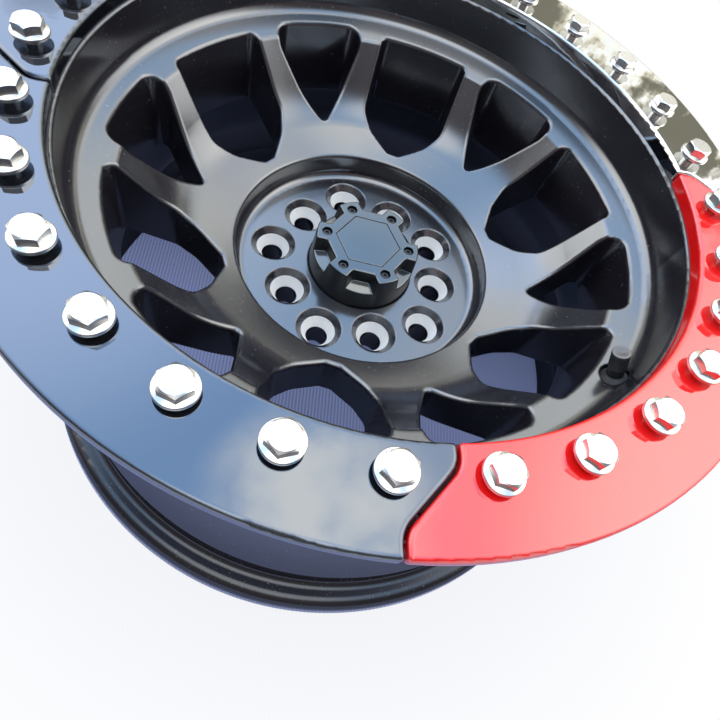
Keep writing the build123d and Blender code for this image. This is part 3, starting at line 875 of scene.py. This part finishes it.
@dataclass(frozen=True)
class Room:
    """Soft light round the wheel: bright ahead and overhead, dim behind the camera.

    Bands are parts of a direction of length 1: widths of x squared, depths of y, the rest of z.
    """

    fill: Colour = (0.42, 0.40, 0.38)
    lobes: tuple[Lobe, ...] = (
        Lobe((0.0, 0.34, 0.94), 0.5, 0.86, (1.15, 1.75, 2.6)),
        Lobe((-0.609, 0.609, 0.508), 0.75, 0.97, (3.0, 3.4, 4.2), 0.8),
        Lobe((0.67, 0.426, 0.608), 0.75, 0.97, (2.5, 2.4, 2.3), 0.8),
        Lobe((-0.85, 0.25, 0.46), 0.88, 0.985, (4.2, 4.1, 3.9), 0.9),
        Lobe((0.74, 0.27, 0.61), 0.88, 0.985, (4.4, 4.2, 3.9), 0.9),
        Lobe((0.0, -0.30, 0.954), 0.92, 0.98, (3.6, 3.6, 3.6), 0.9),
    )
    puff: Lobe = Lobe((0.1, 0.25, 0.963), 0.97, 0.997, (4.2, 3.9, 3.4))
    puffs: Pattern = Pattern(5.0, 6.0, 0.55)
    puff_band: Band = (0.3, 0.65)
    side: Colour = (2.5, 2.5, 2.5)
    side_share: float = 0.5
    side_width: Band = (0.25, 0.5)
    side_depth: Band = (-0.5, -0.1)
    side_top: Band = (0.5, 0.75)
    haze: Colour = (2.9, 2.75, 2.4)
    haze_share: float = 0.8
    haze_bottom: Band = (0.36, 0.5)
    haze_top: Band = (0.64, 0.74)
    haze_width: Band = (0.06, 0.24)
    hedge_dark: Colour = (0.30, 0.29, 0.22)
    hedge_light: Colour = (2.1, 1.98, 1.6)
    hedge_top: float = 0.56
    hedge_fade: float = 0.12
    hedge_dip: float = 0.3
    dip_width: Band = (0.25, 0.5)
    leaves: Pattern = Pattern(11.0, 5.0, 0.6)
    leaf_band: Band = (0.44, 0.58)
    leaf_reach: float = 0.12
    ground: Colour = (0.10, 0.09, 0.08)
    ground_top: Band = (0.1, 0.26)
    ground_gap: float = 0.7
    dim: Colour = (0.17, 0.16, 0.18)
    dim_share: float = 0.9
    dim_depth: Band = (0.15, 0.5)
    dim_top: Band = (0.66, 0.86)

    def overhead(self, graph: Graph, direction: Sequence[Value]) -> Value:
        """Colour of the bright lobes and puffs.

        Args:
            graph: the world's graph.
            direction: where a ray goes.

        Returns:
            The colour.
        """
        sky: Value | Colour = self.fill
        for lobe in self.lobes:
            sky = graph.mix(lobe.cover(direction), sky, lobe.colour)
        puffs = graph.noise(self.puffs, Space.GENERATED).rise(*self.puff_band)
        return graph.mix(self.puff.cover(direction) * puffs, sky, self.puff.colour)

    def colour(self, graph: Graph) -> Value:
        """Colour of the whole room, laid over in turn: sides, haze, hedge, ground and dim back.

        Args:
            graph: the world's graph.

        Returns:
            The colour.
        """
        x, y, z = graph.place(Space.GENERATED)
        sky = self.overhead(graph, (x, y, z))
        aside = (x * x).rise(*self.side_width) * y.rise(*self.side_depth)
        sky = graph.mix(aside * (1.0 - z.rise(*self.side_top)) * self.side_share, sky, self.side)
        hazy = z.rise(*self.haze_bottom) * (1.0 - z.rise(*self.haze_top)) * self.haze_share
        sky = graph.mix(hazy * (1.0 - (x * x).rise(*self.haze_width)), sky, self.haze)
        leaves = graph.noise(self.leaves, Space.GENERATED).rise(*self.leaf_band)
        dip = (x * x).rise(*self.dip_width) * self.hedge_dip
        outline = z + dip + self.leaf_reach * leaves
        hedged = 1.0 - outline.rise(self.hedge_top - self.hedge_fade, self.hedge_top)
        sky = graph.mix(hedged, sky, graph.mix(leaves, self.hedge_dark, self.hedge_light))
        low = (1.0 - z.rise(*self.ground_top)) * (1.0 - self.ground_gap * aside)
        sky = graph.mix(low, sky, self.ground)
        behind = (0.0 - y).rise(*self.dim_depth) * (1.0 - z.rise(*self.dim_top))
        return graph.mix(behind * self.dim_share, sky, self.dim)


@dataclass
class Studio:
    """Floor and the soft light round the wheel."""

    floor_size: float = 14.0
    # the sheet's blue is painted skylight colour: it shows in its shade, in what the wheel
    # reflects and in bounced light
    floor_finish: FloorFinish = FloorFinish("floor_pale_sheet", (0.48, 0.53, 0.80))
    room: Room = Room()
    level: float = 0.72

    def floor(self) -> None:
        """Lays the floor."""
        bpy.ops.object.select_all(action="DESELECT")
        bpy.ops.mesh.primitive_plane_add(size=self.floor_size, location=(0.0, 0.0, 0.0))
        floor = bpy.context.active_object
        floor.name = "studio_floor"
        floor.data.materials.append(self.floor_finish.material())

    def world(self) -> None:
        """Fills the room with light; the camera itself sees plain white."""
        world = bpy.data.worlds.new("studio_world")
        bpy.context.scene.world = world
        world.use_nodes = True
        graph = Graph(world.node_tree)
        lit = {"Color": self.room.colour(graph), "Strength": self.level}
        room = graph.shader("ShaderNodeBackground", lit)
        white = graph.shader("ShaderNodeBackground", {"Color": WHITE, "Strength": 1.0})
        camera = graph.out("ShaderNodeLightPath", None, None, "Is Camera Ray")
        surface = graph.blend(camera, room, white)
        graph.node("ShaderNodeOutputWorld", None, {"Surface": surface})

    def build(self) -> None:
        """Sets the stage."""
        self.floor()
        self.world()
        bpy.context.scene.view_settings.view_transform = "Standard"


@dataclass
class PhotoCamera:
    """Camera where the photograph was taken from.

    Its place and sensor are in millimetres, its angles in radians and near in metres.
    """

    place: Triple = (-14.49, -259.18, 421.29)
    focal_px: float = 545.525
    frame_px: float = 720.0
    sensor: float = 36.0
    near: float = 0.01
    yaw: float = -0.172250536
    pitch: float = 1.026
    roll: float = 0.4508

    def build(self) -> None:
        """Adds the camera and makes it the scene's."""
        ahead = Vector((-math.sin(self.yaw), math.cos(self.yaw), 0.0))
        right = Vector((math.cos(self.yaw), math.sin(self.yaw), 0.0))
        up = Vector((0.0, 0.0, 1.0))
        down = math.sin(self.pitch)
        level = math.cos(self.pitch)
        ahead, up = ahead * level - up * down, up * level + ahead * down
        side = right * math.cos(self.roll) + up * math.sin(self.roll)
        top = up * math.cos(self.roll) - right * math.sin(self.roll)
        lens = bpy.data.cameras.new("photo_camera")
        lens.sensor_width = self.sensor
        lens.lens = self.sensor * self.focal_px / self.frame_px
        lens.clip_start = self.near
        holder = bpy.data.objects.new("photo_camera", lens)
        turned = Matrix((side, top, -ahead)).transposed().to_4x4()
        holder.matrix_world = Matrix.Translation(Vector(self.place) * MM) @ turned
        bpy.context.scene.collection.objects.link(holder)
        bpy.context.scene.camera = holder


def main() -> None:
    """Builds and dresses everything in order."""
    logging.basicConfig(level=logging.INFO, format="%(message)s")
    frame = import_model()
    dresser = Dresser(frame)
    for assembly in (WheelBody(dresser), ClampRing(dresser), Valve(dresser)):
        assembly.dress()
        log.info("%s is dressed", type(assembly).__name__)
    Studio().build()
    PhotoCamera().build()


if __name__ == "__main__":
    main()
